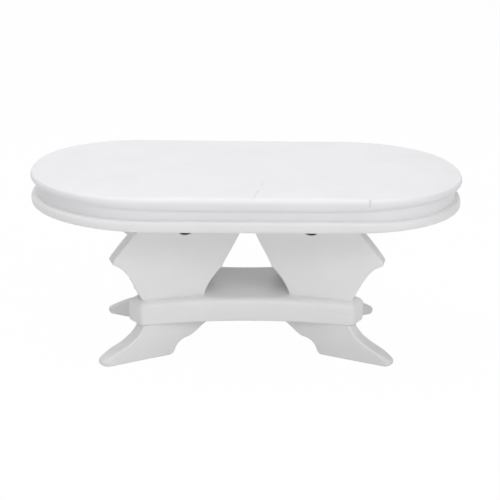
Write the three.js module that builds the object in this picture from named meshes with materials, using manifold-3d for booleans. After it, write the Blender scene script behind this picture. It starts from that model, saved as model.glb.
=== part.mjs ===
// Miniature oval dining table at one twelfth scale, painted white.
// The top is two oval boards with a moulded edge. It stands on four scroll sawn leg boards,
// a thick shelf with four hollow sides, and four scroll sawn feet under the shelf.
// Millimetres, +X along the top, +Z up, origin on the floor under the middle of the top.
import * as THREE from 'three';
import { mergeVertices } from 'three/addons/utils/BufferGeometryUtils.js';
import Module from 'manifold-3d';

const wasm = await Module();
wasm.setup();

// Overall sizes of the top
const topLength = 150;
const topWidth = 78;

// Heights of the layers, from the floor up
const footHeight = 12.9;
const shelfThickness = 8.5;
const legHeight = 31.05;
const subTopThickness = 4;
const topBoardThickness = 8.25;

// Moulded edge of the top: a nose, a recessed band under it, and a bead on the lower board
const noseHeight = 5.3;
const bandInset = 2;
const beadDepth = 1.5;

// Scroll sawn boards
const boardThickness = 6;
const boardEase = 0.7;
const legWidth = 46.1;
const legInnerX = 2.7;
const legInnerY = 5.6;
const legAngle = THREE.MathUtils.degToRad(16);
const backLegInnerX = 1.4;
const backLegAngle = THREE.MathUtils.degToRad(18);
const footWidth = 42.9;
const footInnerX = 11.9;
const footInnerY = 6;
const footAngle = THREE.MathUtils.degToRad(26);

// Round tips of a leg's wing and a foot's toe
const wingRadius = 1;
const toeRadius = 1.8;

// Shelf, seen from above: where its sides end at a corner, and how far in the sides curve
const shelfSideEndX = 36.6;
const shelfSideEndY = 21.2;
const shelfEndEndX = 41.6;
const shelfEndEndY = 14.4;
const shelfSideWaist = 16.4;
const shelfEndWaist = 33.7;
const shelfEase = 2.6;

// Dowels through the shelf, from each leg into the foot below it
const dowelRadius = 1.2;
const dowelOuterX = 31.5;
const dowelInnerX = 21.5;
const dowelLegEntry = 6;
const dowelFootEntry = 4;
const dowelChamfer = 0.4;

// Screws through the outward face of each leg into a cleat under the top
const screwHeadRadius = 3.6;
const screwHeadDepth = 2.4;
const screwHeadLand = 0.4;
const screwHeadSink = 0.15;
const screwShankRadius = 1.2;
const screwLength = 12;
const screwPointLength = 2.4;
const screwFromLegTip = 25.4;
const screwBelowTop = 4.3;

// Cleats that take the screws, one between each front and back leg
const cleatInnerX = 15;
const cleatOuterX = 30;
const cleatHeight = 10;

// Clearances and overruns
const glueLine = 0.3;
const boreClearance = 0.25;
const cutOverrun = 1;

// Facet counts
const turnedSteps = 72;
const edgeSteps = 10;
const outlineSteps = 9;
const boardEaseSteps = 2;
const shelfEaseSteps = 3;
const dowelSteps = 12;
const screwSteps = 18;

// Levels worked out from the heights of the layers
const shelfBottom = footHeight;
const shelfTop = shelfBottom + shelfThickness;
const topUnderside = shelfTop + legHeight;
const topJoint = topUnderside + subTopThickness;

// How a board stands at a corner: its tip worked out from its inner end, its width and its angle
function boardStand(innerX, innerY, width, angle) {
  return {
    angle,
    tipX: innerX + width * Math.cos(angle),
    tipY: innerY + width * Math.sin(angle),
  };
}

const frontLeg = boardStand(legInnerX, legInnerY, legWidth, legAngle);
const backLeg = boardStand(backLegInnerX, legInnerY, legWidth, backLegAngle);
const foot = boardStand(footInnerX, footInnerY, footWidth, footAngle);

// Outline of a leg board, as shares of its width from the wing tip and of its height.
// It runs from the bottom edge up the inner side, over the top and down past the wing.
const legShares = {
  bottomOuter: [0.221, 0],
  bottomInner: [0.71, 0],
  lowerHollow: [0.727, 0.125],
  cusp: [0.852, 0.32],
  upperHollowLow: [0.872, 0.425],
  upperHollowHigh: [1, 0.66],
  shoulder: [1, 0.79],
  topInner: [1, 1],
  topOuter: [0.323, 1],
  outerSide: [0.124, 0.718],
  wingCentre: [0.0235, 0.463],
  wingHollow: [0.1215, 0.374],
  heelHollow: [0.166, 0.161],
};

// Outline of a foot board, as shares of its width from the toe and of its height.
// It runs along the floor, up the inner side, under the shelf and down to the toe.
const footShares = {
  soleInner: [0.576, 0],
  soleCorner: [0.613, 0],
  innerRise: [0.626, 0.124],
  archLow: [0.649, 0.345],
  archHigh: [0.681, 0.403],
  archEnd: [0.76, 0.457],
  throatLow: [0.834, 0.543],
  throatHigh: [0.853, 0.729],
  throatEnd: [0.981, 0.888],
  topInner: [1, 1],
  topOuter: [0.35, 1],
  instepHigh: [0.312, 0.7],
  instepLow: [0.231, 0.535],
  instepEnd: [0.14, 0.403],
  toeTop: [0.045, 0.31],
};

const paint = { color: 0xf0f0f3, roughness: 0.42, metalness: 0 };
const rawWood = { color: 0xd8c19a, roughness: 0.75, metalness: 0 };
const darkSteel = { color: 0x2a2a2c, roughness: 0.45, metalness: 0.7 };

const corners = [
  { name: 'front_left', sideX: -1, sideY: -1, leg: frontLeg },
  { name: 'front_right', sideX: 1, sideY: -1, leg: frontLeg },
  { name: 'back_left', sideX: -1, sideY: 1, leg: backLeg },
  { name: 'back_right', sideX: 1, sideY: 1, leg: backLeg },
];

const table = new THREE.Group();

// A closed geometry as a solid, moved by a matrix first when one is given
function toSolid(geometry, matrix = new THREE.Matrix4()) {
  const bare = geometry.clone().applyMatrix4(matrix);
  bare.deleteAttribute('normal');
  bare.deleteAttribute('uv');
  const merged = mergeVertices(bare);
  return new wasm.Manifold(new wasm.Mesh({
    numProp: 3,
    vertProperties: new Float32Array(merged.attributes.position.array),
    triVerts: new Uint32Array(merged.index.array),
  }));
}

// A solid back as a geometry
function toGeometry(solid) {
  const mesh = solid.getMesh();
  const geometry = new THREE.BufferGeometry();
  geometry.setAttribute('position', new THREE.BufferAttribute(mesh.vertProperties, 3));
  geometry.setIndex(new THREE.BufferAttribute(mesh.triVerts, 1));
  geometry.computeVertexNormals();
  return geometry;
}

function addPiece(parent, name, geometry, finish) {
  const piece = new THREE.Mesh(geometry, new THREE.MeshStandardMaterial(finish));
  piece.name = name;
  parent.add(piece);
  return piece;
}

// An outline extruded to a thickness, middle on the plane of the outline, with eased edges
function easedBoard(outline, thickness, ease, easeSteps) {
  const geometry = new THREE.ExtrudeGeometry(outline, {
    depth: thickness - 2 * ease,
    bevelThickness: ease,
    bevelSize: ease,
    bevelOffset: -ease,
    bevelSegments: easeSteps,
    curveSegments: outlineSteps,
  });
  return geometry.translate(0, 0, ease - thickness / 2);
}

// Points of an edge rounded as half an ellipse, from its lower end to its upper one
function roundEdge(depth, height, centreHeight) {
  const points = [];
  for (let step = 0; step <= edgeSteps; step += 1) {
    const angle = THREE.MathUtils.lerp(-Math.PI / 2, Math.PI / 2, step / edgeSteps);
    const reach = topWidth / 2 - depth + depth * Math.cos(angle);
    points.push(new THREE.Vector2(reach, centreHeight + (height / 2) * Math.sin(angle)));
  }
  return points;
}

// An oval board from the profile of its edge: two turned ends and a straight run between them
function ovalBoard(edge, thickness) {
  const straight = topLength - topWidth;
  const axisBottom = new THREE.Vector2(0, 0);
  const axisTop = new THREE.Vector2(0, thickness);
  const turned = new THREE.LatheGeometry([axisBottom, ...edge, axisTop], turnedSteps);
  turned.rotateX(Math.PI / 2);

  const section = new THREE.Shape();
  section.setFromPoints([...edge, ...edge.map((p) => new THREE.Vector2(-p.x, p.y)).reverse()]);
  const run = new THREE.ExtrudeGeometry(section, { depth: straight, bevelEnabled: false });
  run.rotateX(Math.PI / 2);
  run.rotateZ(Math.PI / 2);
  run.translate(-straight / 2, 0, 0);

  const leftEnd = new THREE.Matrix4().makeTranslation(-straight / 2, 0, 0);
  const rightEnd = new THREE.Matrix4().makeTranslation(straight / 2, 0, 0);
  return toGeometry(toSolid(run).add(toSolid(turned, leftEnd)).add(toSolid(turned, rightEnd)));
}

function addTop() {
  const bandFoot = new THREE.Vector2(topWidth / 2 - bandInset, 0);
  const nose = roundEdge(bandInset, noseHeight, topBoardThickness - noseHeight / 2);
  const topBoard = ovalBoard([bandFoot, ...nose], topBoardThickness);
  addPiece(table, 'table_top_board', topBoard, paint).position.z = topJoint;

  const bead = roundEdge(beadDepth, subTopThickness, subTopThickness / 2);
  addPiece(table, 'sub_top_board', ovalBoard(bead, subTopThickness), paint).position.z = topUnderside;
}

// The point of an arc at an angle
function onArc(centre, radius, angle) {
  return new THREE.Vector2(radius * Math.cos(angle), radius * Math.sin(angle)).add(centre);
}

// The angle at which a line from a point outside an arc touches it, on one side or the other
function tangentAngle(centre, radius, [x, y], side) {
  const toPoint = new THREE.Vector2(x, y).sub(centre);
  return toPoint.angle() + side * Math.acos(radius / toPoint.length());
}

function legOutline() {
  const at = ([across, up]) => [across * legWidth, up * legHeight];
  const s = legShares;
  const outline = new THREE.Shape();
  outline.moveTo(...at(s.bottomOuter));
  outline.lineTo(...at(s.bottomInner));
  outline.quadraticCurveTo(...at(s.lowerHollow), ...at(s.cusp));
  outline.bezierCurveTo(...at(s.upperHollowLow), ...at(s.upperHollowHigh), ...at(s.shoulder));
  outline.lineTo(...at(s.topInner));
  outline.lineTo(...at(s.topOuter));
  const wing = new THREE.Vector2(...at(s.wingCentre));
  const startAngle = tangentAngle(wing, wingRadius, at(s.outerSide), 1);
  const endAngle = tangentAngle(wing, wingRadius, at(s.wingHollow), -1);
  const wingStart = onArc(wing, wingRadius, startAngle);
  outline.quadraticCurveTo(...at(s.outerSide), wingStart.x, wingStart.y);
  outline.absarc(wing.x, wing.y, wingRadius, startAngle, endAngle);
  outline.bezierCurveTo(...at(s.wingHollow), ...at(s.heelHollow), ...at(s.bottomOuter));
  return outline;
}

function footOutline() {
  const at = ([across, up]) => [across * footWidth, up * footHeight];
  const s = footShares;
  const toe = new THREE.Vector2(toeRadius, toeRadius);
  const startAngle = tangentAngle(toe, toeRadius, at(s.toeTop), 1);
  const endAngle = 1.5 * Math.PI;
  const toeStart = onArc(toe, toeRadius, startAngle);
  const outline = new THREE.Shape();
  outline.moveTo(toe.x, 0);
  outline.lineTo(...at(s.soleInner));
  outline.quadraticCurveTo(...at(s.soleCorner), ...at(s.innerRise));
  outline.bezierCurveTo(...at(s.archLow), ...at(s.archHigh), ...at(s.archEnd));
  outline.bezierCurveTo(...at(s.throatLow), ...at(s.throatHigh), ...at(s.throatEnd));
  outline.lineTo(...at(s.topInner));
  outline.lineTo(...at(s.topOuter));
  outline.bezierCurveTo(...at(s.instepHigh), ...at(s.instepLow), ...at(s.instepEnd));
  outline.quadraticCurveTo(...at(s.toeTop), toeStart.x, toeStart.y);
  outline.absarc(toe.x, toe.y, toeRadius, startAngle, endAngle);
  return outline;
}

// Places a board with its tip at a corner and its length pointing in towards the middle
function boardPlacement({ sideX, sideY }, { tipX, tipY, angle }, level) {
  const turn = Math.atan2(-sideY * Math.sin(angle), -sideX * Math.cos(angle));
  return new THREE.Matrix4()
    .makeRotationZ(turn)
    .setPosition(sideX * tipX, sideY * tipY, level);
}

const legPlacement = (corner) => boardPlacement(corner, corner.leg, shelfTop);
const footPlacement = (corner) => boardPlacement(corner, foot, 0);

// Distance of a board's middle plane from the long axis, at a distance along it
const offsetAt = ({ tipX, tipY, angle }, x) => tipY - (tipX - x) * Math.tan(angle);

// Profile of a dowel, or of its bore when grown by a clearance
function dowelProfile(clearance) {
  const radius = dowelRadius + clearance;
  const bottom = shelfBottom - dowelFootEntry - clearance;
  const top = shelfTop + dowelLegEntry + clearance;
  return [
    new THREE.Vector2(0, bottom),
    new THREE.Vector2(radius - dowelChamfer, bottom),
    new THREE.Vector2(radius, bottom + dowelChamfer),
    new THREE.Vector2(radius, top - dowelChamfer),
    new THREE.Vector2(radius - dowelChamfer, top),
    new THREE.Vector2(0, top),
  ];
}

// A turned piece that stands upright
function turnedUpright(profile, steps) {
  return new THREE.LatheGeometry(profile, steps).rotateX(Math.PI / 2);
}

// The two dowels of a corner stand halfway between the leg's and the foot's middle planes
function dowelPlacements({ sideX, sideY, leg }) {
  return [dowelOuterX, dowelInnerX].map((x) => {
    const y = (offsetAt(leg, x) + offsetAt(foot, x)) / 2;
    return new THREE.Matrix4().makeTranslation(sideX * x, sideY * y, 0);
  });
}

function dowelBores(corner) {
  const bore = turnedUpright(dowelProfile(boreClearance), dowelSteps);
  return dowelPlacements(corner).map((placement) => toSolid(bore, placement));
}

// Profile of a countersunk screw from its point at 0 to its head
function screwProfile() {
  const neck = screwLength - screwHeadDepth;
  return [
    new THREE.Vector2(0, 0),
    new THREE.Vector2(screwShankRadius, screwPointLength),
    new THREE.Vector2(screwShankRadius, neck),
    new THREE.Vector2(screwHeadRadius, screwLength - screwHeadLand),
    new THREE.Vector2(screwHeadRadius, screwLength),
    new THREE.Vector2(0, screwLength),
  ];
}

// Profile of the screw's bore, with the clearance all round and an open countersink
function screwBoreProfile() {
  const shank = screwShankRadius + boreClearance;
  const head = screwHeadRadius + boreClearance;
  const neck = screwLength - screwHeadDepth - boreClearance;
  const land = screwLength - screwHeadLand - boreClearance;
  return [
    new THREE.Vector2(0, -boreClearance),
    new THREE.Vector2(shank, screwPointLength - boreClearance),
    new THREE.Vector2(shank, neck),
    new THREE.Vector2(head, land),
    new THREE.Vector2(head, screwLength + screwHeadSink + cutOverrun),
    new THREE.Vector2(0, screwLength + screwHeadSink + cutOverrun),
  ];
}

// The screw lies square to the leg, with its head just under the outward face
function screwPlacement(corner) {
  const outward = -corner.sideX * corner.sideY;
  const headFace = boardThickness / 2 - screwHeadSink;
  const local = new THREE.Matrix4()
    .makeRotationX(-outward * Math.PI / 2)
    .setPosition(screwFromLegTip, outward * (headFace - screwLength), legHeight - screwBelowTop);
  return legPlacement(corner).multiply(local);
}

function screwBore(corner) {
  return toSolid(turnedUpright(screwBoreProfile(), screwSteps), screwPlacement(corner));
}

// A geometry with bores cut in it, where the bores stand in the table's frame
function bored(geometry, placement, bores) {
  let solid = toSolid(geometry, placement);
  for (const bore of bores) {
    solid = solid.subtract(bore);
  }
  return toGeometry(solid).applyMatrix4(placement.clone().invert());
}

function addBoard(name, outline, placement, bores) {
  const upright = easedBoard(outline, boardThickness, boardEase, boardEaseSteps).rotateX(Math.PI / 2);
  const board = addPiece(table, name, bored(upright, placement, bores), paint);
  board.applyMatrix4(placement);
}

function addDowels(corner) {
  const names = ['outer', 'inner'];
  dowelPlacements(corner).forEach((placement, index) => {
    const dowel = turnedUpright(dowelProfile(0), dowelSteps);
    addPiece(table, `dowel_${corner.name}_${names[index]}`, dowel, rawWood).applyMatrix4(placement);
  });
}

function addCorner(corner) {
  const bores = dowelBores(corner);
  addBoard(`leg_${corner.name}`, legOutline(), legPlacement(corner), [...bores, screwBore(corner)]);
  addBoard(`foot_${corner.name}`, footOutline(), footPlacement(corner), bores);
  addDowels(corner);
  const screw = turnedUpright(screwProfile(), screwSteps);
  addPiece(table, `leg_screw_${corner.name}`, screw, darkSteel).applyMatrix4(screwPlacement(corner));
}

// The shelf's sides are hollow curves that pass through the waist at their middle
function shelfOutline() {
  const sideControl = 2 * shelfSideWaist - shelfSideEndY;
  const endControl = 2 * shelfEndWaist - shelfEndEndX;
  const outline = new THREE.Shape();
  outline.moveTo(-shelfSideEndX, -shelfSideEndY);
  outline.quadraticCurveTo(0, -sideControl, shelfSideEndX, -shelfSideEndY);
  outline.lineTo(shelfEndEndX, -shelfEndEndY);
  outline.quadraticCurveTo(endControl, 0, shelfEndEndX, shelfEndEndY);
  outline.lineTo(shelfSideEndX, shelfSideEndY);
  outline.quadraticCurveTo(0, sideControl, -shelfSideEndX, shelfSideEndY);
  outline.lineTo(-shelfEndEndX, shelfEndEndY);
  outline.quadraticCurveTo(-endControl, 0, -shelfEndEndX, -shelfEndEndY);
  return outline;
}

function addShelf() {
  const placement = new THREE.Matrix4().makeTranslation(0, 0, shelfBottom + shelfThickness / 2);
  const shelf = easedBoard(shelfOutline(), shelfThickness, shelfEase, shelfEaseSteps);
  const geometry = bored(shelf, placement, corners.flatMap(dowelBores));
  addPiece(table, 'stretcher_shelf', geometry, paint).applyMatrix4(placement);
}

// A cleat fills the wedge between a front and a back leg, with a glue line to each
function addCleat(side, sideX) {
  const cleatEdge = (leg, x) => offsetAt(leg, x) - (boardThickness / 2 + glueLine) / Math.cos(leg.angle);
  const plan = new THREE.Shape([
    new THREE.Vector2(sideX * cleatInnerX, -cleatEdge(frontLeg, cleatInnerX)),
    new THREE.Vector2(sideX * cleatOuterX, -cleatEdge(frontLeg, cleatOuterX)),
    new THREE.Vector2(sideX * cleatOuterX, cleatEdge(backLeg, cleatOuterX)),
    new THREE.Vector2(sideX * cleatInnerX, cleatEdge(backLeg, cleatInnerX)),
  ]);
  const block = new THREE.ExtrudeGeometry(plan, { depth: cleatHeight, bevelEnabled: false });
  const placement = new THREE.Matrix4().makeTranslation(0, 0, topUnderside - cleatHeight);
  const bores = corners.filter((corner) => corner.sideX === sideX).map(screwBore);
  addPiece(table, `cleat_${side}`, bored(block, placement, bores), paint).applyMatrix4(placement);
}

addTop();
addCleat('left', -1);
addCleat('right', 1);
corners.forEach(addCorner);
addShelf();

export default table;
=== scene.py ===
# Miniature oval dining table, painted white: its fine surfaces, finishes, floor, light and camera.
# Metres, +X along the top, +Z up, origin on the floor under the middle of the top.
import bisect
import math

import bl_math
import bmesh
import bpy
from mathutils import Matrix, Vector, noise


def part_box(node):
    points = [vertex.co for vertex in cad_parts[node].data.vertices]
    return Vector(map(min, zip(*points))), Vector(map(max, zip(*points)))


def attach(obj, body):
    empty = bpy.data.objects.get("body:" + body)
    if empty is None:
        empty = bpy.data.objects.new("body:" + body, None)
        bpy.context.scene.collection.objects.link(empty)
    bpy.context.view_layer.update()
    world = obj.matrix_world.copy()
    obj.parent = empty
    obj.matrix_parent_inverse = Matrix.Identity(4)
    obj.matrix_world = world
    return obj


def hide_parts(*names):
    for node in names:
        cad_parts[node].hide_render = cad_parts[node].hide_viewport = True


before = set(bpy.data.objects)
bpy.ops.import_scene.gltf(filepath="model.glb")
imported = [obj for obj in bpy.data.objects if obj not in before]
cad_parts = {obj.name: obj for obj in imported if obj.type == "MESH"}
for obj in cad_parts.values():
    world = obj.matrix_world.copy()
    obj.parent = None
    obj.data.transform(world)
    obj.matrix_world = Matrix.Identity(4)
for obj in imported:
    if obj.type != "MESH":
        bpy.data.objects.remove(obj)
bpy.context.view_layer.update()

MM = 0.001
QUARTER = math.pi / 2

# Levels and sizes read from the frame
top_low, top_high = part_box("table_top_board")
bead_low, bead_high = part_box("sub_top_board")
shelf_low, shelf_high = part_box("stretcher_shelf")
TOP_LENGTH = top_high.x - top_low.x
TOP_WIDTH = top_high.y - top_low.y
LEG_HEIGHT = bead_low.z - shelf_high.z
FOOT_HEIGHT = shelf_low.z

# Moulded edge of the top, along its front and back
NOSE_HEIGHT = 5.3 * MM
NOSE_DEPTH = 1.6 * MM
BAND_INSET = 2 * MM
COVE_DROP = 0.7 * MM
COVE_TURN = math.radians(72)
BEAD_DEPTH = 1.5 * MM
BEAD_SQUARENESS = 2.7

# The same edge at the two ends, and the distances from the middle between which it changes
END_NOSE_HEIGHT = 3.7 * MM
END_NOSE_DEPTH = 0.7 * MM
END_COVE_DROP = 1.6 * MM
END_COVE_TURN = math.radians(52)
END_BEAD_LIFT = 0.55 * MM
THINS_FROM = 22 * MM
THINS_TO = 66 * MM

# How far sanding has let the top's upper face fall towards the nose: in full from the front to FALLS_TO,
# and not at all from LEVEL_FROM to the back
FACE_FALL = 0.5 * MM
END_FACE_FALL = 0.85 * MM
FACE_FALL_RUN = 7 * MM
FALLS_TO = -5 * MM
LEVEL_FROM = 22 * MM

# Scroll sawn boards
BOARD_THICKNESS = 6 * MM
BOARD_EASE = 0.7 * MM
LEG_WIDTH = 46.1 * MM
FRONT_LEG_INNER = Vector((2.7, 5.6)) * MM
FRONT_LEG_ANGLE = math.radians(16)
BACK_LEG_INNER = Vector((1.4, 5.6)) * MM
BACK_LEG_ANGLE = math.radians(18)
WING_RADIUS = 1 * MM
FOOT_WIDTH = 42.9 * MM
FOOT_INNER = Vector((11.9, 6)) * MM
FOOT_ANGLE = math.radians(26)
TOE_RADIUS = 1.2 * MM
TOE_REACH = 0.6 * MM
TOE_RUN = 6.5 * MM

# A leg's outline, as shares of its width from the wing tip and of its height
LEG_SHARES = {
    "bottom_outer": (0.221, 0),
    "bottom_inner": (0.71, 0),
    "lower_hollow": (0.727, 0.125),
    "cusp": (0.852, 0.32),
    "upper_hollow_low": (0.872, 0.425),
    "upper_hollow_high": (1, 0.66),
    "shoulder": (1, 0.79),
    "top_inner": (1, 1),
    "top_outer": (0.323, 1),
    "outer_side": (0.124, 0.718),
    "wing_centre": (0.0235, 0.463),
    "wing_hollow": (0.1215, 0.374),
    "heel_hollow": (0.166, 0.161),
}

# A foot's outline, as shares of its width from the toe and of its height
FOOT_SHARES = {
    "sole_inner": (0.576, 0),
    "sole_corner": (0.613, 0),
    "inner_rise": (0.626, 0.124),
    "arch_low": (0.649, 0.345),
    "arch_high": (0.681, 0.403),
    "arch_end": (0.76, 0.457),
    "throat_low": (0.834, 0.543),
    "throat_high": (0.853, 0.729),
    "throat_end": (0.981, 0.888),
    "top_inner": (1, 1),
    "top_outer": (0.35, 1),
    "instep_high": (0.312, 0.7),
    "instep_low": (0.231, 0.535),
    "instep_end": (0.14, 0.403),
    "toe_top": (0.055, 0.28),
}

# The table's corners: left (-1) or right (1), and front (-1) or back (1)
CORNERS = {
    "front_left": (-1, -1),
    "front_right": (1, -1),
    "back_left": (-1, 1),
    "back_right": (1, 1),
}

# Where a front leg (-1) and a back leg (1) has its inner end, and how it splays
LEG_STANDS = {-1: (FRONT_LEG_INNER, FRONT_LEG_ANGLE), 1: (BACK_LEG_INNER, BACK_LEG_ANGLE)}

# Shelf, seen from above
SHELF_SIDE_END = Vector((36.6, 21.2)) * MM
SHELF_END_END = Vector((41.6, 14.4)) * MM
SHELF_SIDE_WAIST = 16.4 * MM
SHELF_END_WAIST = 33.7 * MM
SHELF_EASE = 2.4 * MM
SHELF_BACK_EASE = 1 * MM
SHELF_UNDER_EASE = 0.7 * MM
SHELF_EASE_RUN = 10 * MM
SHELF_SANDING_ROUNDS = 14

# Countersunk slotted screws
SCREW_HEAD_RADIUS = 3.85 * MM
SCREW_HEAD_DEPTH = 2.4 * MM
SCREW_LAND = 0.4 * MM
SCREW_RIM = SCREW_LAND / 4
SCREW_SINK = 0.05 * MM
SCREW_SHANK_RADIUS = 1.2 * MM
SCREW_LENGTH = 12 * MM
SCREW_POINT = 2.4 * MM
SCREW_FROM_TIP = 25.8 * MM
SCREW_BELOW_TOP = 4.6 * MM
SLOT_WIDTH = 0.9 * MM
SLOT_DEPTH = 0.8 * MM
SLOT_CUT_LENGTH = 4 * SCREW_HEAD_RADIUS
THREAD_PITCH = 1 * MM
THREAD_DEPTH = 0.22 * MM
COUNTERSINK_GAP = 0.12 * MM
CUT_OVERRUN = 1 * MM

# How far each screw's slot has turned when it is tight
SLOT_TURN = {"front_left": 0.5, "front_right": -0.9, "back_left": 1.3, "back_right": 0.1}

# Cleats between the front and back legs, under the top
CLEAT_INNER_X = 15 * MM
CLEAT_OUTER_X = 30 * MM
CLEAT_HEIGHT = 10 * MM
CLEAT_EASE = 0.4 * MM
GLUE_LINE = 0.3 * MM
CLEAT_CORNERS = ((CLEAT_INNER_X, -1), (CLEAT_OUTER_X, -1), (CLEAT_OUTER_X, 1), (CLEAT_INNER_X, 1))

# Hand work: how far a sawn edge wanders, over what length, and the seed that keeps it the same each time
SAW_WANDER = 0.06 * MM
SAW_WAVE = 5 * MM
TOP_WAVE = 3 * SAW_WAVE
WANDER_SEED = 1

# Which part of the wander each board gets. Legs and feet count on from theirs.
TOP_SEED = 1
BEAD_SEED = 2
LEG_SEED = 10
FOOT_SEED = 20
SHELF_SEED = 40

# How finely the surfaces are built
OUTLINE_STEP = 0.45 * MM
ARC_STEP = OUTLINE_STEP / 2
CURVE_LEAST_STEPS = 2
ARC_LEAST_STEPS = 4
EASE_STEPS = 7
TOE_LAYERS = 9
NOSE_STEPS = 15
BEAD_STEPS = 12
COVE_STEPS = 6
FACE_FALL_STEPS = 7
BAND_RISE_SHARES = (0, 0.3, 0.6, 0.85)
PLAN_STEP = 0.6 * MM
TURNED_STEPS = 64
TURNED_LEAST_RADIUS = MM / 100
THREAD_STEP = THREAD_PITCH / 8
FLAT_MARGIN = 0.2 * MM
ON_LEVEL = OUTLINE_STEP / 10
WELD = MM / 1000
SHARP_ANGLE = math.radians(38)
SMOOTH_JOIN = math.radians(2)

# White paint on the top and on the boards, how dull it gets, its colour where thin, and where marked, at
# the chip as painted shade
# The top's paint is the boards' white with a painted cool tint, the tint of the light from above
TOP_PAINT_COOL_LIT = (0.86, 0.86, 0.884)
BOARD_PAINT = (0.862, 0.86, 0.862)
DULLED = 0.96
PAINT_THIN = (0.80, 0.795, 0.78, 1)
# The marked colour also paints the shade inside the chip's dent
PAINT_MARKED_AND_CHIP_SHADE = (0.62, 0.61, 0.59, 1)
PAINT_ROUGHNESS = 0.36
PAINT_IOR = 1.48

# The grain under the paint, in turns per millimetre along X, Y and Z of each piece
TOP_GRAIN = (0.12, 2.2, 2.2)
BEAD_GRAIN = (0.12, 2.0, 2.0)
BOARD_GRAIN = (0.15, 2.4, 2.4)
SHELF_GRAIN = (0.12, 2.0, 2.0)

# The paint's other textures, in turns per millimetre, and how far each of them and the grain stands up
PEEL_TURNS = 1.9
SANDING_TURNS = 0.16
HAZE_TURNS = 0.07
SPECK_TURNS = 2.6
GRAIN_RELIEF = 0.012 * MM
PEEL_RELIEF = 0.006 * MM
SANDING_RELIEF = 0.05 * MM

# The levels between which the haze and the specks come in, and how much each texture dulls, thins or
# roughens the paint
HAZE_LEVELS = (0.35, 0.7)
SPECK_LEVELS = (0.74, 0.8)
HAZE_DULLS = 0.5
GRAIN_DULLS = 0.3
SPECKS_THIN = 0.35
PEEL_ROUGHENS = 0.06
HAZE_ROUGHENS = 0.08

# Marks in the paint, in millimetres along a piece's X and Y: a stroke's start, its end and its half width
SCRATCH_STROKES = (
    ((0.2, -37.8), (0.9, -35.2), 0.5),
    ((0.9, -35.2), (2.1, -30.6), 0.45),
    ((2.1, -30.6), (3.4, -29.6), 0.4),
    ((3.2, -26.8), (4.3, -20.5), 0.4),
)
# The chip in the top's front edge: its darker colour is painted shade inside its dent
CHIP_STROKE = ((37.2, -39.2), (37.4, -38), 0.5)
SAW_LINE_STROKE = ((27.0, -1.0), (37.0, -0.1), 0.3)

# How strongly the marks show, how deep they are, and the heights over which those on the top fade in
SCRATCH_SHOWS = 0.55
SCRATCH_FAINTEST = 0.4
SCRATCH_BREAK_TURNS = 0.9
SCRATCH_BREAK_LEVELS = (0.35, 0.55)
SCRATCH_HEIGHTS = (62.4, 63)
# How dark the chip is painted, as shade of its dent, and how deep its bump is
CHIP_AND_SHADE_SHOWS = 0.8
CHIP_HEIGHTS = (61.3, 62)
SAW_LINE_SHOWS = 0.15
MARK_DEPTH = 0.1 * MM

# Unfinished birch: its colours, its grain and pores in turns per millimetre along X, Y and Z, and its feel
BIRCH_PALE = (0.72, 0.57, 0.36, 1)
BIRCH_DARK = (0.5, 0.35, 0.19, 1)
BIRCH_PORE = (0.33, 0.21, 0.11, 1)
BIRCH_GRAIN = (3.2, 3.2, 0.25)
BIRCH_GRAIN_LEVELS = (0.4, 0.75)
BIRCH_PORES = (9, 9, 0.8)
BIRCH_PORE_LEVELS = (0.58, 0.7)
BIRCH_PORES_SHOW = 0.5
BIRCH_RELIEF = 0.03 * MM
BIRCH_ROUGHNESS = 0.66
BIRCH_GRAIN_ROUGHENS = 0.14

# Blackened steel: its colours, its mottle and rubbed streaks in turns per millimetre, and its feel
STEEL_BLACK = (0.018, 0.018, 0.02, 1)
STEEL_GREY = (0.06, 0.058, 0.056, 1)
STEEL_BRIGHT = (0.3, 0.3, 0.31, 1)
STEEL_MOTTLE_TURNS = 1.4
STEEL_RUBS = (0.6, 6, 6)
STEEL_RUB_LEVELS = (0.6, 0.72)
STEEL_RUBS_SHOW = 0.4
STEEL_RELIEF = 0.01 * MM
STEEL_METALLIC = 0.85
STEEL_ROUGHNESS = 0.34
STEEL_MOTTLE_ROUGHENS = 0.2

# Floor and backdrop
WHITE = (1, 1, 1, 1)
FLOOR_HALF = 6.0
FLOOR_GAP = 0.02 * MM
FLOOR_WHITE = (0.85, 0.85, 0.85, 1)
SEEN_WHITE = 0.985
WORLD_LIGHT = 0.11

# Each lamp: degrees round from the front and up from the floor, its width and height, and its watts
LAMPS = {
    "overhead": (0, 90, (0.6, 0.6), 3.65),
    "high_left": (-100, 60, (0.6, 0.6), 3.35),
    "front_right": (35, 45, (0.6, 0.6), 2.15),
    "key": (1, 36, (0.35, 0.35), 1.8),
    "low_left": (-35, 12, (0.5, 0.15), 1.45),
    "low_right": (50, 12, (0.3, 0.3), 1.35),
    "back": (180, 30, (0.6, 0.6), 0.35),
}
LAMP_DISTANCE = 1.1
LAMP_AIM = Vector((0, 0, 0.035))

# Camera: how it stands to the photograph's view of the table. Its lens and sensor are in millimetres.
VIEW_TURN = math.radians(-3.13)
VIEW_RISE = math.radians(19.08)
VIEW_ROLL = math.radians(1.28)
VIEW_DISTANCE = 391.88 * MM
VIEW_CENTRE = Vector((1.45, 0, 33.68)) * MM
LENS = 78.65
SENSOR = 36.0
CLIP_NEAR = 0.01
CLIP_FAR = 50


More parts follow.
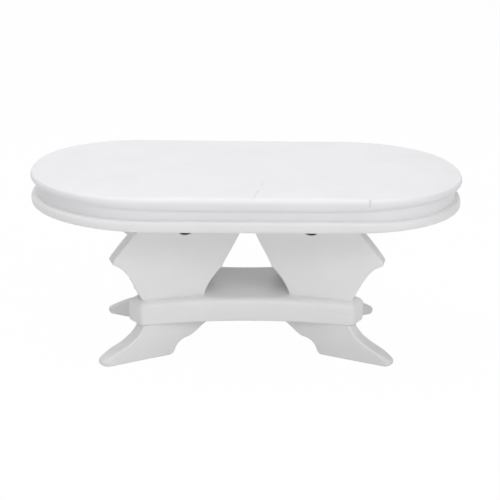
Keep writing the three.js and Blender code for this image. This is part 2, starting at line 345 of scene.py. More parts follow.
# The nodes of a finish
class Value:
    """What a node gives: a number, a place, a colour or a shader. Sums on a number add Math nodes."""

    def __init__(self, tree, socket):
        self.tree = tree
        self.socket = socket

    def maths(self, operation, *terms):
        settings = {"operation": operation}
        return add_node(self.tree, "ShaderNodeMath", settings, dict(enumerate(terms)))["Value"]

    def __add__(self, other):
        return self.maths("ADD", self, other)

    def __radd__(self, other):
        return self.maths("ADD", other, self)

    def __sub__(self, other):
        return self.maths("SUBTRACT", self, other)

    def __rsub__(self, other):
        return self.maths("SUBTRACT", other, self)

    def __mul__(self, other):
        return self.maths("MULTIPLY", self, other)

    def __rmul__(self, other):
        return self.maths("MULTIPLY", other, self)

    def __abs__(self):
        return self.maths("ABSOLUTE", self)

    def at_least(self, other):
        return self.maths("MAXIMUM", self, other)

    def at_most(self, other):
        return self.maths("MINIMUM", self, other)

    def ramp(self, start, end):
        """0 below start, 1 above end, and a soft rise between them."""
        settings = {"interpolation_type": "SMOOTHSTEP"}
        limits = {"Value": self, "From Min": start, "From Max": end}
        return add_node(self.tree, "ShaderNodeMapRange", settings, limits)["Result"]


def add_node(tree, kind, settings=None, inputs=None):
    """Adds a node: its settings first, then the values or links of its sockets. Gives its outputs."""
    node = tree.nodes.new(kind)
    for name, setting in (settings or {}).items():
        setattr(node, name, setting)
    for key, given in (inputs or {}).items():
        if isinstance(key, int):
            socket = node.inputs[key]
        else:
            socket = next(s for s in node.inputs if s.enabled and s.name == key)
        if isinstance(given, Value):
            tree.links.new(given.socket, socket)
        else:
            socket.default_value = given
    return {s.name: Value(tree, s) for s in node.outputs if s.enabled}


def new_finish(name):
    """An empty material with its node tree."""
    material = bpy.data.materials.new(name)
    material.use_nodes = True
    material.node_tree.nodes.clear()
    return material, material.node_tree


def place_in_mm(tree):
    """The point on a piece, in millimetres in the piece's own directions."""
    point = add_node(tree, "ShaderNodeTexCoord")["Object"]
    inputs = {"Vector": point, "Scale": 1 / MM}
    return add_node(tree, "ShaderNodeVectorMath", {"operation": "SCALE"}, inputs)["Vector"]


def grained(tree, place, turns, detail, distortion=0.0):
    """Soft random variation, from 0 to 1, at so many turns per millimetre."""
    inputs = {"Vector": place, "Scale": turns, "Detail": detail, "Distortion": distortion}
    return add_node(tree, "ShaderNodeTexNoise", None, inputs)["Fac"]


def streaked(tree, place, turns, detail, distortion=0.0):
    """Soft random variation, from 0 to 1, with its own turns per millimetre in each direction."""
    inputs = {0: place, 1: turns}
    stretched = add_node(tree, "ShaderNodeVectorMath", {"operation": "MULTIPLY"}, inputs)["Vector"]
    return grained(tree, stretched, 1.0, detail, distortion)


def shifted(tree, first, second, share):
    """A colour between two colours."""
    inputs = {"Factor": share, "A": first, "B": second}
    return add_node(tree, "ShaderNodeMix", {"data_type": "RGBA"}, inputs)["Result"]


def embossed(tree, height, depth, under=None):
    """The normal of a surface that a height from 0 to 1 raises by a depth."""
    inputs = {"Height": height, "Distance": depth, "Strength": 1.0}
    if under:
        inputs["Normal"] = under
    return add_node(tree, "ShaderNodeBump", None, inputs)["Normal"]


def blended(tree, share, first, second):
    """A shader between two shaders."""
    return add_node(tree, "ShaderNodeMixShader", None, {0: share, 1: first, 2: second})["Shader"]


def surface(material, tree, shader):
    """Gives a material its surface, and hands the material back."""
    add_node(tree, "ShaderNodeOutputMaterial", None, {"Surface": shader})
    return material


def solid_surface(material, tree, inputs):
    """Gives a material the surface of a paint, wood or metal, and hands the material back."""
    return surface(material, tree, add_node(tree, "ShaderNodeBsdfPrincipled", None, inputs)["BSDF"])


# The finishes
def painted_wood(name, paint, grain, marks_and_shade=None):
    """Satin white paint over sanded wood, with the grain showing faintly along one direction."""
    material, tree = new_finish(name)
    clean = (*paint, 1)
    dull = (*(DULLED * part for part in paint), 1)
    place = place_in_mm(tree)
    figure = streaked(tree, place, grain, detail=3.0, distortion=0.4)
    peel = grained(tree, place, PEEL_TURNS, detail=1.5)
    sanding = grained(tree, place, SANDING_TURNS, detail=2.0)
    haze = grained(tree, place, HAZE_TURNS, detail=3.0)
    specks = grained(tree, place, SPECK_TURNS, detail=0.0).ramp(*SPECK_LEVELS)

    colour = shifted(tree, clean, dull, haze.ramp(*HAZE_LEVELS) * HAZE_DULLS + figure * GRAIN_DULLS)
    colour = shifted(tree, colour, PAINT_THIN, specks * SPECKS_THIN)
    rough = PAINT_ROUGHNESS + peel * PEEL_ROUGHENS + haze * HAZE_ROUGHENS
    normal = embossed(tree, sanding, SANDING_RELIEF)
    normal = embossed(tree, figure, GRAIN_RELIEF, normal)
    normal = embossed(tree, peel, PEEL_RELIEF, normal)
    if marks_and_shade:
        mark_and_shade = marks_and_shade(tree, place)
        # Marks darken the paint; at the chip the darkening is painted shade of its dent
        colour = shifted(tree, colour, PAINT_MARKED_AND_CHIP_SHADE, mark_and_shade)
        normal = embossed(tree, 1 - mark_and_shade, MARK_DEPTH, normal)
    inputs = {"Base Color": colour, "Roughness": rough, "Normal": normal, "IOR": PAINT_IOR}
    return solid_surface(material, tree, inputs)


def near_stroke(tree, place, start, end, half_width):
    """1 along a straight stroke between two points in X and Y, fading out to its sides and ends."""
    start, end = Vector(start), Vector(end)
    along = (end - start).normalized()
    parts = add_node(tree, "ShaderNodeSeparateXYZ", None, {"Vector": place})
    x = parts["X"] - start.x
    y = parts["Y"] - start.y
    run = x * along.x + y * along.y
    aside = abs(x * along.y - y * along.x)
    length = (end - start).length
    started = run.ramp(-half_width, half_width)
    ended = run.ramp(length - half_width, length + half_width)
    return (1 - aside.ramp(0, half_width)) * (started * (1 - ended))


def top_marks_and_chip_shade(tree, place):
    """The hairline scratch on the top, in four broken strokes, and the chip in its front edge, darkened
    with painted shade of its dent.
    """
    scratch = near_stroke(tree, place, *SCRATCH_STROKES[0])
    for stroke in SCRATCH_STROKES[1:]:
        scratch = scratch.at_least(near_stroke(tree, place, *stroke))
    unbroken = grained(tree, place, SCRATCH_BREAK_TURNS, detail=1.0).ramp(*SCRATCH_BREAK_LEVELS)
    height = add_node(tree, "ShaderNodeSeparateXYZ", None, {"Vector": place})["Z"]
    scratch = scratch * (SCRATCH_FAINTEST + unbroken * (1 - SCRATCH_FAINTEST))
    scratch = scratch * height.ramp(*SCRATCH_HEIGHTS) * SCRATCH_SHOWS
    # The chip: a real dent in the bump, darkened with painted shade
    chip_and_shade = near_stroke(tree, place, *CHIP_STROKE) * height.ramp(*CHIP_HEIGHTS) * CHIP_AND_SHADE_SHOWS
    return scratch.at_least(chip_and_shade)


def shelf_marks(tree, place):
    """A saw line that the paint hasn't quite filled, along the shelf's edge."""
    return near_stroke(tree, place, *SAW_LINE_STROKE) * SAW_LINE_SHOWS


def bare_wood(name):
    """Unfinished birch with its grain along Z."""
    material, tree = new_finish(name)
    place = place_in_mm(tree)
    lines = streaked(tree, place, BIRCH_GRAIN, detail=4.0, distortion=0.6)
    pores = streaked(tree, place, BIRCH_PORES, detail=2.0).ramp(*BIRCH_PORE_LEVELS) * BIRCH_PORES_SHOW
    colour = shifted(tree, BIRCH_PALE, BIRCH_DARK, lines.ramp(*BIRCH_GRAIN_LEVELS))
    colour = shifted(tree, colour, BIRCH_PORE, pores)
    rough = BIRCH_ROUGHNESS + lines * BIRCH_GRAIN_ROUGHENS
    normal = embossed(tree, lines - pores, BIRCH_RELIEF)
    return solid_surface(material, tree, {"Base Color": colour, "Roughness": rough, "Normal": normal})


def dark_steel(name):
    """Blackened steel, dull, with bright metal where the driver has rubbed."""
    material, tree = new_finish(name)
    place = place_in_mm(tree)
    mottle = grained(tree, place, STEEL_MOTTLE_TURNS, detail=3.0)
    rubs = streaked(tree, place, STEEL_RUBS, detail=2.0).ramp(*STEEL_RUB_LEVELS)
    colour = shifted(tree, STEEL_BLACK, STEEL_GREY, mottle)
    colour = shifted(tree, colour, STEEL_BRIGHT, rubs * STEEL_RUBS_SHOW)
    rough = STEEL_ROUGHNESS + mottle * STEEL_MOTTLE_ROUGHENS
    normal = embossed(tree, mottle, STEEL_RELIEF)
    inputs = {"Base Color": colour, "Metallic": STEEL_METALLIC, "Roughness": rough, "Normal": normal}
    return solid_surface(material, tree, inputs)


# Outlines of the boards
class Run:
    """One smooth run of an outline. A glued run keeps its edges square."""

    def __init__(self, points, glued):
        self.points = points
        self.glued = glued
        self.measure()

    def measure(self):
        """Works out how far along each point lies, and which way the run leaves and arrives."""
        self.reaches = [0.0]
        for before, after in zip(self.points, self.points[1:]):
            self.reaches.append(self.reaches[-1] + (after - before).length)
        self.length = self.reaches[-1]
        self.leaves = (self.points[1] - self.points[0]).normalized()
        self.arrives = (self.points[-1] - self.points[-2]).normalized()

    def heading(self, index):
        """The way the run goes at one of its points."""
        before = self.points[max(index - 1, 0)]
        after = self.points[min(index + 1, len(self.points) - 1)]
        return (after - before).normalized()

    def at(self, distance):
        """The point at a distance along the run or past its ends, and the direction inward there."""
        last = len(self.points) - 2
        index = min(max(bisect.bisect(self.reaches, distance) - 1, 0), last)
        share = (distance - self.reaches[index]) / (self.reaches[index + 1] - self.reaches[index])
        point = self.points[index].lerp(self.points[index + 1], share)
        heading = self.heading(index).lerp(self.heading(index + 1), min(max(share, 0), 1)).normalized()
        return point, Vector((-heading.y, heading.x))


class Outline:
    """A closed outline that runs anticlockwise, built from smooth runs."""

    def __init__(self, start):
        self.pen = Vector(start)
        self.runs = []

    def curve(self, *controls, glued=False):
        """A line or curve through its controls to the last of them."""
        controls = [self.pen, *map(Vector, controls)]
        length = sum((b - a).length for a, b in zip(controls, controls[1:]))
        steps = max(CURVE_LEAST_STEPS, round(length / OUTLINE_STEP))
        points = []
        for step in range(steps + 1):
            layer = controls
            while len(layer) > 1:
                layer = [a.lerp(b, step / steps) for a, b in zip(layer, layer[1:])]
            points.append(layer[0].copy())
        self.add(points, glued)

    def arc(self, centre, radius, start, end):
        """A round run from one angle to another."""
        steps = max(ARC_LEAST_STEPS, round(radius * (end - start) / ARC_STEP))
        angles = [start + (end - start) * step / steps for step in range(steps + 1)]
        self.add([on_arc(centre, radius, angle) for angle in angles])

    def add(self, points, glued=False):
        self.runs.append(Run(points, glued))
        self.pen = points[-1].copy()

    def sawn(self, seed, *levels):
        """Lets the outline wander a little, as a sawn and sanded one does, but not off the given levels."""
        for run in self.runs:
            for point in run.points:
                wave = noise.noise_vector(Vector((point.x, point.y, seed * SAW_WAVE)) / SAW_WAVE)
                point.x += SAW_WANDER * wave.x
                if all(abs(point.y - level) > ON_LEVEL for level in levels):
                    point.y += SAW_WANDER * wave.y
            run.measure()
        return self

    def drawn_in(self, inset):
        """Points of the outline drawn in by an inset, which may change along it, and mitred at corners."""
        ring = []
        for index, run in enumerate(self.runs):
            before = self.runs[index - 1]
            after = self.runs[(index + 1) % len(self.runs)]
            start = mitre_cut(run.leaves, before.arrives, inset, run, before, run.points[0])
            end = mitre_cut(after.leaves, run.arrives, inset, run, after, run.points[-1])
            steps = len(run.points) - 1
            for step in range(steps):
                point, inward = run.at(start + (run.length - start - end) * step / steps)
                ring.append(point + inward * (0 if run.glued else inset(point)))
        return ring


def mitre_cut(leaves, arrives, inset, run, neighbour, corner):
    """How much of a run is lost at a corner when it and its neighbour are drawn in."""
    turn = math.atan2(arrives.x * leaves.y - arrives.y * leaves.x, arrives.dot(leaves))
    if abs(turn) < SMOOTH_JOIN:
        return 0
    own = 0 if run.glued else inset(corner)
    other = 0 if neighbour.glued else inset(corner)
    return (other - own * math.cos(turn)) / math.sin(turn)


def on_arc(centre, radius, angle):
    """The point on an arc at an angle."""
    return centre + Vector((math.cos(angle), math.sin(angle))) * radius


def tangent_angle(centre, radius, point, side):
    """The angle at which a line from a point outside an arc touches it, on one side or the other."""
    to_point = Vector(point) - centre
    angle = math.atan2(to_point.y, to_point.x)
    return angle + side * math.acos(radius / to_point.length)


def leg_outline():
    """A leg: its glued foot, its inner side with a cusp, its glued top and its round wing tip."""
    at = {name: Vector((x * LEG_WIDTH, y * LEG_HEIGHT)) for name, (x, y) in LEG_SHARES.items()}
    wing = at["wing_centre"]
    start = tangent_angle(wing, WING_RADIUS, at["outer_side"], 1)
    end = tangent_angle(wing, WING_RADIUS, at["wing_hollow"], -1) + 2 * math.pi
    outline = Outline(at["bottom_outer"])
    outline.curve(at["bottom_inner"], glued=True)
    outline.curve(at["lower_hollow"], at["cusp"])
    outline.curve(at["upper_hollow_low"], at["upper_hollow_high"], at["shoulder"])
    outline.curve(at["top_inner"])
    outline.curve(at["top_outer"], glued=True)
    outline.curve(at["outer_side"], on_arc(wing, WING_RADIUS, start))
    outline.arc(wing, WING_RADIUS, start, end)
    outline.curve(at["wing_hollow"], at["heel_hollow"], at["bottom_outer"])
    return outline


def foot_outline():
    """A foot: its sole, its arch and throat, its glued top, its instep and its round toe."""
    at = {name: Vector((x * FOOT_WIDTH, y * FOOT_HEIGHT)) for name, (x, y) in FOOT_SHARES.items()}
    toe = Vector((TOE_RADIUS, TOE_RADIUS))
    start = tangent_angle(toe, TOE_RADIUS, at["toe_top"], 1)
    outline = Outline((TOE_RADIUS, 0))
    outline.curve(at["sole_inner"])
    outline.curve(at["sole_corner"], at["inner_rise"])
    outline.curve(at["arch_low"], at["arch_high"], at["arch_end"])
    outline.curve(at["throat_low"], at["throat_high"], at["throat_end"])
    outline.curve(at["top_inner"])
    outline.curve(at["top_outer"], glued=True)
    outline.curve(at["instep_high"], at["instep_low"], at["instep_end"])
    outline.curve(at["toe_top"], on_arc(toe, TOE_RADIUS, start))
    outline.arc(toe, TOE_RADIUS, start, 3 * QUARTER)
    return outline


def shelf_outline():
    """The shelf's plan: four hollow sides between four blunt corners."""
    side, end = SHELF_SIDE_END, SHELF_END_END
    side_control = 2 * SHELF_SIDE_WAIST - side.y
    end_control = 2 * SHELF_END_WAIST - end.x
    outline = Outline((-side.x, -side.y))
    outline.curve((0, -side_control), (side.x, -side.y))
    outline.curve((end.x, -end.y))
    outline.curve((end_control, 0), (end.x, end.y))
    outline.curve((side.x, side.y))
    outline.curve((0, side_control), (-side.x, side.y))
    outline.curve((-end.x, end.y))
    outline.curve((-end_control, 0), (-end.x, -end.y))
    outline.curve((-side.x, -side.y))
    return outline


def sanded(ring, rounds):
    """A ring whose corners are rubbed soft, each round drawing every point towards its neighbours."""
    for _ in range(rounds):
        ring = [
            (ring[index - 1] + 2 * point + ring[(index + 1) % len(ring)]) / 4
            for index, point in enumerate(ring)
        ]
    return ring


def even_ease(ease):
    """The same ease all the way round an outline, on both faces."""
    return lambda point, side: ease


def shelf_ease(point, side):
    """The shelf's ease: broad over its front edge, less over its back and least underneath."""
    if side < 0:
        return SHELF_UNDER_EASE
    to_back = bl_math.smoothstep(-SHELF_EASE_RUN, SHELF_EASE_RUN, point.y)
    return bl_math.lerp(SHELF_EASE, SHELF_BACK_EASE, to_back)


# Surfaces, and how they become pieces
def close_rings(mesh, rings):
    """Joins rings of points with bands of faces, and caps the first and the last."""
    for ring, following in zip(rings, rings[1:]):
        for index in range(len(ring)):
            after = (index + 1) % len(ring)
            mesh.faces.new((ring[index], ring[after], following[after], following[index]))
    mesh.faces.new(list(reversed(rings[0])))
    mesh.faces.new(rings[-1])


def board_mesh(outline, thickness, ease, sanding=0, layers=0):
    """A board from its outline in X and Z. Its edges are eased by what ease says at a point and face."""
    mesh = bmesh.new()
    angles = [step / EASE_STEPS * QUARTER for step in range(EASE_STEPS + 1)]
    profile = [(1 - math.sin(angle), 1 - math.cos(angle), 0) for angle in angles]
    profile = [(1, 0, FLAT_MARGIN), *profile]
    upper = [(inset, depth, margin, 1) for inset, depth, margin in profile]
    between = [(0, 1, 0, 1 - 2 * layer / (layers + 1)) for layer in range(1, layers + 1)]
    lower = [(inset, depth, margin, -1) for inset, depth, margin in reversed(profile)]
    whole = outline.drawn_in(lambda point: 0)
    rings = []
    for share, depth, margin, side in upper + between + lower:
        ring = outline.drawn_in(lambda point: ease(point, side) * share + margin)
        verts = []
        for point, base in zip(sanded(ring, sanding), whole):
            across = side * (thickness / 2 - ease(base, side) * depth)
            verts.append(mesh.verts.new((point.x, -across, point.y)))
        rings.append(verts)
    close_rings(mesh, rings)
    bmesh.ops.remove_doubles(mesh, verts=mesh.verts, dist=WELD)
    bmesh.ops.recalc_face_normals(mesh, faces=mesh.faces)
    return mesh


def top_plan():
    """Points round the top's plan: where each stands on the long axis, and which way it faces."""
    stations = []
    straight = TOP_LENGTH - TOP_WIDTH
    run_steps = round(straight / PLAN_STEP)
    turn_steps = round(QUARTER * TOP_WIDTH / PLAN_STEP)
    for side in (1, -1):
        for index in range(run_steps):
            stations.append((side * straight * (index / run_steps - 0.5), Vector((0, -side))))
        for index in range(turn_steps):
            angle = math.pi * index / turn_steps - side * QUARTER
            stations.append((side * straight / 2, Vector((math.cos(angle), math.sin(angle)))))
    return stations


def oval_mesh(profile_at, seed):
    """An oval board. profile_at gives its edge at a point of its plan: reaches and heights, low to high."""
    mesh = bmesh.new()
    stations = top_plan()
    edges = [Vector((along, 0)) + facing * (TOP_WIDTH / 2) for along, facing in stations]
    rings = []
    for level in zip(*(profile_at(edge) for edge in edges)):
        ring = []
        for (reach, height), (along, facing), edge in zip(level, stations, edges):
            wave = noise.noise(Vector((edge.x, edge.y, seed * SAW_WAVE)) / TOP_WAVE)
            out = Vector((along, 0)) + facing * (reach + SAW_WANDER * (wave - 1) / 2)
            ring.append(mesh.verts.new((out.x, out.y, height)))
        rings.append(ring)
    close_rings(mesh, rings)
    bmesh.ops.recalc_face_normals(mesh, faces=mesh.faces)
    return mesh


def arc_profile(reach, height, depth, rise, start, end, steps, squareness=2):
    """Points of an oval arc between two angles, from its middle, depth and rise. Over 2, it is squarer."""
    points = []
    for step in range(steps + 1):
        angle = bl_math.lerp(start, end, step / steps)
        across = math.cos(angle) ** (2 / squareness)
        up = math.copysign(abs(math.sin(angle)) ** (2 / squareness), angle)
        points.append((reach + depth * across, height + rise * up))
    return points


def turned_mesh(profile, thread=None):
    """A turned piece about Z from its profile of radius and height, low to high."""
    mesh = bmesh.new()
    rings = []
    for radius, height in profile:
        ring = []
        for index in range(TURNED_STEPS):
            angle = 2 * math.pi * index / TURNED_STEPS
            cut = thread(angle, height) if thread else 0
            reach = max(radius - cut, TURNED_LEAST_RADIUS)
            ring.append(mesh.verts.new((reach * math.cos(angle), reach * math.sin(angle), height)))
        rings.append(ring)
    close_rings(mesh, rings)
    bmesh.ops.recalc_face_normals(mesh, faces=mesh.faces)
    return mesh


def new_piece(name, mesh, finish, placement):
    """A mesh as an object in the scene, smooth but for its sharp arrises."""
    data = bpy.data.meshes.new(name)
    mesh.to_mesh(data)
    mesh.free()
    data.shade_smooth()
    data.set_sharp_from_angle(angle=SHARP_ANGLE)
    if finish:
        data.materials.append(finish)
    piece = bpy.data.objects.new(name, data)
    bpy.context.scene.collection.objects.link(piece)
    piece.matrix_world = placement
    return piece


def cut_away(piece, cutter):
    """Cuts one object out of another and throws the cutter away."""
    bpy.context.view_layer.update()
    cut = piece.modifiers.new("cut", "BOOLEAN")
    cut.operation = "DIFFERENCE"
    cut.solver = "EXACT"
    cut.object = cutter
    graph = bpy.context.evaluated_depsgraph_get()
    result = bpy.data.meshes.new_from_object(piece.evaluated_get(graph))
    piece.modifiers.clear()
    piece.data = result
    piece.data.set_sharp_from_angle(angle=SHARP_ANGLE)
    bpy.data.objects.remove(cutter)


def settle(piece, node):
    """Puts a finished piece on the table's one body, in the place of its plain solid."""
    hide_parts(node)
    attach(piece, "root")


def board_placement(side_x, side_y, inner, width, angle, level):
    """Where a board stands: its tip at a corner, its length pointing in towards the middle."""
    tip = inner + Vector((math.cos(angle), math.sin(angle))) * width
    turn = math.atan2(-side_y * math.sin(angle), -side_x * math.cos(angle))
    place = Matrix.Translation((side_x * tip.x, side_y * tip.y, level))
    return place @ Matrix.Rotation(turn, 4, "Z")


def lying_placement(level):
    """Where a board lies flat: its middle at a level, its outline's upper side to the back."""
    return Matrix.Translation((0, 0, level)) @ Matrix.Rotation(-QUARTER, 4, "X")


# The top and the bead board under it
def thinned(x, middle, end):
    """A size of the moulded edge at a distance along the top, from its middle value to its end one."""
    return bl_math.lerp(middle, end, bl_math.smoothstep(THINS_FROM, THINS_TO, abs(x)))


def nose_profile(edge):
    """The top board's edge: a recessed band, a cove, a half round nose and the fall of the upper face."""
    band = TOP_WIDTH / 2 - BAND_INSET
    to_level = bl_math.smoothstep(FALLS_TO, LEVEL_FROM, edge.y)
    fall = thinned(edge.x, FACE_FALL, END_FACE_FALL) * (1 - to_level)
    height = thinned(edge.x, NOSE_HEIGHT, END_NOSE_HEIGHT) - fall
    depth = thinned(edge.x, NOSE_DEPTH, END_NOSE_DEPTH)
    drop = thinned(edge.x, COVE_DROP, END_COVE_DROP)
    turn = thinned(edge.x, COVE_TURN, END_COVE_TURN)
    level = top_high.z - fall - height / 2
    under = arc_profile(band, level, BAND_INSET, height / 2, -turn, 0, NOSE_STEPS)
    over = arc_profile(TOP_WIDTH / 2 - depth, level, depth, height / 2, 0, QUARTER, NOSE_STEPS)
    start = Vector(under[0])
    cove = arc_profile(start.x, start.y - drop, band - start.x, drop, 0, QUARTER, COVE_STEPS)
    rise = [(band, bl_math.lerp(top_low.z, start.y - drop, share)) for share in BAND_RISE_SHARES]
    face = []
    for step in range(1, FACE_FALL_STEPS + 1):
        share = step / FACE_FALL_STEPS
        face.append((TOP_WIDTH / 2 - depth - FACE_FALL_RUN * share, top_high.z - fall * (1 - share) ** 2))
    return [(band - FLAT_MARGIN, top_low.z), *rise, *cove[:-1], *under, *over[1:], *face]


def bead_profile(edge):
    """The lower board's edge: a bead with squarish shoulders."""
    reach = TOP_WIDTH / 2 - BEAD_DEPTH
    middle = (bead_low.z + bead_high.z) / 2
    lift = thinned(edge.x, 0, END_BEAD_LIFT)
    low, high = middle - bead_low.z - lift, bead_high.z - middle
    under = arc_profile(reach, middle, BEAD_DEPTH, low, -QUARTER, 0, BEAD_STEPS, BEAD_SQUARENESS)
    over = arc_profile(reach, middle, BEAD_DEPTH, high, 0, QUARTER, BEAD_STEPS, BEAD_SQUARENESS)
    inner = reach - FLAT_MARGIN
    return [(inner - BEAD_DEPTH, bead_low.z), *under, *over[1:], (inner, bead_high.z)]


def add_top(finish, bead_finish):
    at_origin = Matrix.Identity(4)
    top = new_piece("painted_top_board", oval_mesh(nose_profile, TOP_SEED), finish, at_origin)
    settle(top, "table_top_board")
    bead = new_piece("painted_sub_top_board", oval_mesh(bead_profile, BEAD_SEED), bead_finish, at_origin)
    settle(bead, "sub_top_board")


# The legs and their screws
def screw_placement(placement, outward):
    """A screw square to its leg, its head just under the outward face."""
    across = outward * (BOARD_THICKNESS / 2 - SCREW_SINK - SCREW_LENGTH)
    local = Matrix.Translation((SCREW_FROM_TIP, across, LEG_HEIGHT - SCREW_BELOW_TOP))
    return placement @ local @ Matrix.Rotation(-outward * QUARTER, 4, "X")


def thread_cut(angle, height):
    """How far the thread's groove goes in, at an angle round the shank and a height along it."""
    if height > SCREW_LENGTH - SCREW_HEAD_DEPTH - THREAD_PITCH or height < THREAD_PITCH / 2:
        return 0
    phase = (height / THREAD_PITCH - angle / (2 * math.pi)) % 1
    return THREAD_DEPTH * (1 - abs(2 * phase - 1))


def screw_profile():
    """A screw's radius and height from its point along the shank to the flat of its head."""
    neck = SCREW_LENGTH - SCREW_HEAD_DEPTH
    steps = round((neck - SCREW_POINT) / THREAD_STEP)
    heights = [SCREW_POINT + (neck - SCREW_POINT) * step / steps for step in range(steps + 1)]
    shank = [(SCREW_SHANK_RADIUS, height) for height in heights]
    land = [(SCREW_HEAD_RADIUS, SCREW_LENGTH - SCREW_LAND), (SCREW_HEAD_RADIUS, SCREW_LENGTH - SCREW_RIM)]
    flat = [(SCREW_HEAD_RADIUS - inset * SCREW_RIM, SCREW_LENGTH) for inset in (1, 3)]
    return [(TURNED_LEAST_RADIUS, 0), *shank, *land, *flat]


def slot_cutter(name, placement):
    """The cutter for a screw's slot."""
    block = bmesh.new()
    bmesh.ops.create_cube(block, size=1)
    face = Matrix.Translation((0, 0, SCREW_LENGTH))
    turn = Matrix.Rotation(SLOT_TURN[name], 4, "Z")
    shape = Matrix.Diagonal((SLOT_CUT_LENGTH, SLOT_WIDTH, 2 * SLOT_DEPTH, 1))
    return new_piece("slot_cutter", block, None, placement @ face @ turn @ shape)


def add_screw(name, placement, finish):
    screw = new_piece(f"screw_{name}", turned_mesh(screw_profile(), thread_cut), finish, placement)
    cut_away(screw, slot_cutter(name, placement))
    settle(screw, f"leg_screw_{name}")


def countersink_cutter(placement):
    """The cutter that opens a leg's face for a screw head."""
    wide = SCREW_HEAD_RADIUS + COUNTERSINK_GAP
    narrow = SCREW_SHANK_RADIUS + COUNTERSINK_GAP
    neck = SCREW_LENGTH - SCREW_HEAD_DEPTH - COUNTERSINK_GAP
    land = SCREW_LENGTH - SCREW_LAND - COUNTERSINK_GAP
    end = SCREW_LENGTH + 2 * SCREW_SINK + CUT_OVERRUN
    profile = [(narrow, -CUT_OVERRUN), (narrow, neck), (wide, land), (wide, end)]
    return new_piece("countersink_cutter", turned_mesh(profile), None, placement)


def add_leg(name, side_x, side_y, finish, steel, seed):
    inner, angle = LEG_STANDS[side_y]
    placement = board_placement(side_x, side_y, inner, LEG_WIDTH, angle, shelf_high.z)
    outline = leg_outline().sawn(seed, 0, LEG_HEIGHT)
    mesh = board_mesh(outline, BOARD_THICKNESS, even_ease(BOARD_EASE))
    leg = new_piece(f"painted_leg_{name}", mesh, finish, placement)
    screw_place = screw_placement(placement, -side_x * side_y)
    cut_away(leg, countersink_cutter(screw_place))
    settle(leg, f"leg_{name}")
    add_screw(name, screw_place, steel)


# The feet, the shelf and the cleats
def round_toe(mesh):
    """Rounds a foot's toe from one face of the board to the other, as seen from above."""
    half = BOARD_THICKNESS / 2
    for vert in mesh.verts:
        if vert.co.x < TOE_RUN:
            back = half - math.sqrt(max(half * half - vert.co.y * vert.co.y, 0)) - TOE_REACH
            vert.co.x += back * (1 - vert.co.x / TOE_RUN) ** 2


def add_foot(name, side_x, side_y, finish, seed):
    placement = board_placement(side_x, side_y, FOOT_INNER, FOOT_WIDTH, FOOT_ANGLE, 0)
    outline = foot_outline().sawn(seed, 0, FOOT_HEIGHT)
    mesh = board_mesh(outline, BOARD_THICKNESS, even_ease(BOARD_EASE), layers=TOE_LAYERS)
    round_toe(mesh)
    foot = new_piece(f"painted_foot_{name}", mesh, finish, placement)
    settle(foot, f"foot_{name}")


def add_shelf(finish):
    thickness = shelf_high.z - shelf_low.z
    mesh = board_mesh(shelf_outline().sawn(SHELF_SEED), thickness, shelf_ease, SHELF_SANDING_ROUNDS)
    placement = lying_placement(shelf_low.z + thickness / 2)
    shelf = new_piece("painted_stretcher_shelf", mesh, finish, placement)
    settle(shelf, "stretcher_shelf")


def cleat_edge(side_y, x):
    """How far from the long axis a cleat's face lies, a glue line inside its leg."""
    inner, angle = LEG_STANDS[side_y]
    middle = inner.y + (x - inner.x) * math.tan(angle)
    return side_y * (middle - (BOARD_THICKNESS / 2 + GLUE_LINE) / math.cos(angle))


def add_cleat(side, side_x, finish):
    """The block between a front and a back leg that the screws go into."""
    plan = [(side_x * x, cleat_edge(side_y, x)) for x, side_y in CLEAT_CORNERS]
    if side_x < 0:
        plan.reverse()
    outline = Outline(plan[-1])
    for corner in plan:
        outline.curve(corner)
    mesh = board_mesh(outline, CLEAT_HEIGHT, even_ease(CLEAT_EASE))
    placement = lying_placement(bead_low.z - CLEAT_HEIGHT / 2)
    cleat = new_piece(f"painted_cleat_{side}", mesh, finish, placement)
    settle(cleat, f"cleat_{side}")


# Floor, light and camera
def seen_or_mirrored(tree):
    """1 for rays from the camera, off a gloss or through glass, and 0 for the light itself."""
    rays = add_node(tree, "ShaderNodeLightPath")
    seen = rays["Is Camera Ray"] + rays["Is Glossy Ray"] + rays["Is Transmission Ray"]
    return seen.at_most(1.0)


def pale_floor(name):
    """White where it is looked at, but for a faint shadow, and plain matt white to the light."""
    material, tree = new_finish(name)
    matt = add_node(tree, "ShaderNodeBsdfDiffuse", None, {"Color": FLOOR_WHITE})["BSDF"]
    white = add_node(tree, "ShaderNodeEmission", None, {"Color": WHITE, "Strength": 1.0})["Emission"]
    share = seen_or_mirrored(tree) * SEEN_WHITE
    return surface(material, tree, blended(tree, share, matt, white))


def add_floor():
    mesh = bmesh.new()
    bmesh.ops.create_grid(mesh, x_segments=1, y_segments=1, size=FLOOR_HALF)
    under = Matrix.Translation((0, 0, -FLOOR_GAP))
    floor = new_piece("floor", mesh, pale_floor("pale_floor"), under)


def add_world():
    """Light from all round, which is seen as white."""
    world = bpy.data.worlds.new("studio")
    bpy.context.scene.world = world
    world.use_nodes = True
    tree = world.node_tree
    tree.nodes.clear()
    around = {"Color": WHITE, "Strength": WORLD_LIGHT}
    lit = add_node(tree, "ShaderNodeBackground", None, around)["Background"]
    white = add_node(tree, "ShaderNodeBackground", None, {"Color": WHITE, "Strength": 1.0})["Background"]
    mixed = blended(tree, seen_or_mirrored(tree), lit, white)
    add_node(tree, "ShaderNodeOutputWorld", None, {"Surface": mixed})


def facing_back(turn, rise):
    """The way from the table to something that stands so far round from the front and up from level."""
    return Vector((math.sin(turn) * math.cos(rise), -math.cos(turn) * math.cos(rise), math.sin(rise)))


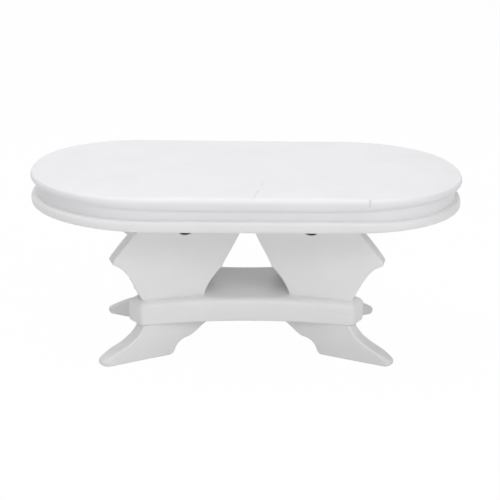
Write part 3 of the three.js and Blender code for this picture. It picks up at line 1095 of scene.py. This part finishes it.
def add_lamp(name, turn, rise, size, power):
    light = bpy.data.lights.new(name, "AREA")
    light.shape = "RECTANGLE"
    light.size, light.size_y = size
    light.energy = power
    lamp = bpy.data.objects.new(name, light)
    bpy.context.scene.collection.objects.link(lamp)
    lamp.location = facing_back(math.radians(turn), math.radians(rise)) * LAMP_DISTANCE
    lamp.rotation_mode = "QUATERNION"
    lamp.rotation_quaternion = (LAMP_AIM - lamp.location).to_track_quat("-Z", "Y")


def add_camera():
    back = facing_back(VIEW_TURN, VIEW_RISE)
    data = bpy.data.cameras.new("camera")
    data.lens = LENS
    data.sensor_width = SENSOR
    data.clip_start, data.clip_end = CLIP_NEAR, CLIP_FAR
    camera = bpy.data.objects.new("camera", data)
    bpy.context.scene.collection.objects.link(camera)
    level = back.to_track_quat("Z", "Y").to_matrix().to_4x4()
    roll = Matrix.Rotation(VIEW_ROLL, 4, "Z")
    camera.matrix_world = Matrix.Translation(VIEW_CENTRE + back * VIEW_DISTANCE) @ level @ roll
    bpy.context.scene.camera = camera


def build():
    """The whole table in its finishes, with the floor, the light and the camera."""
    noise.seed_set(WANDER_SEED)
    add_camera()
    # The top's finish carries a painted cool tint of the light from above
    top_paint_cool_lit = painted_wood("satin_white_top_cool_lit", TOP_PAINT_COOL_LIT, TOP_GRAIN, top_marks_and_chip_shade)
    bead_paint = painted_wood("satin_white_moulding", BOARD_PAINT, BEAD_GRAIN)
    board_paint = painted_wood("satin_white_boards", BOARD_PAINT, BOARD_GRAIN)
    shelf_paint = painted_wood("satin_white_shelf", BOARD_PAINT, SHELF_GRAIN, shelf_marks)
    steel = dark_steel("blackened_steel")
    add_top(top_paint_cool_lit, bead_paint)
    for index, (name, (side_x, side_y)) in enumerate(CORNERS.items()):
        add_leg(name, side_x, side_y, board_paint, steel, LEG_SEED + index)
        add_foot(name, side_x, side_y, board_paint, FOOT_SEED + index)
    add_shelf(shelf_paint)
    add_cleat("left", -1, board_paint)
    add_cleat("right", 1, board_paint)
    dowel_wood = bare_wood("unfinished_birch")
    for name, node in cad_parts.items():
        if name.startswith("dowel"):
            node.data.materials.clear()
            node.data.materials.append(dowel_wood)
    add_floor()
    add_world()
    for name, (turn, rise, size, power) in LAMPS.items():
        add_lamp(name, turn, rise, size, power)


build()
scene = bpy.context.scene
scene.view_settings.view_transform = "Standard"
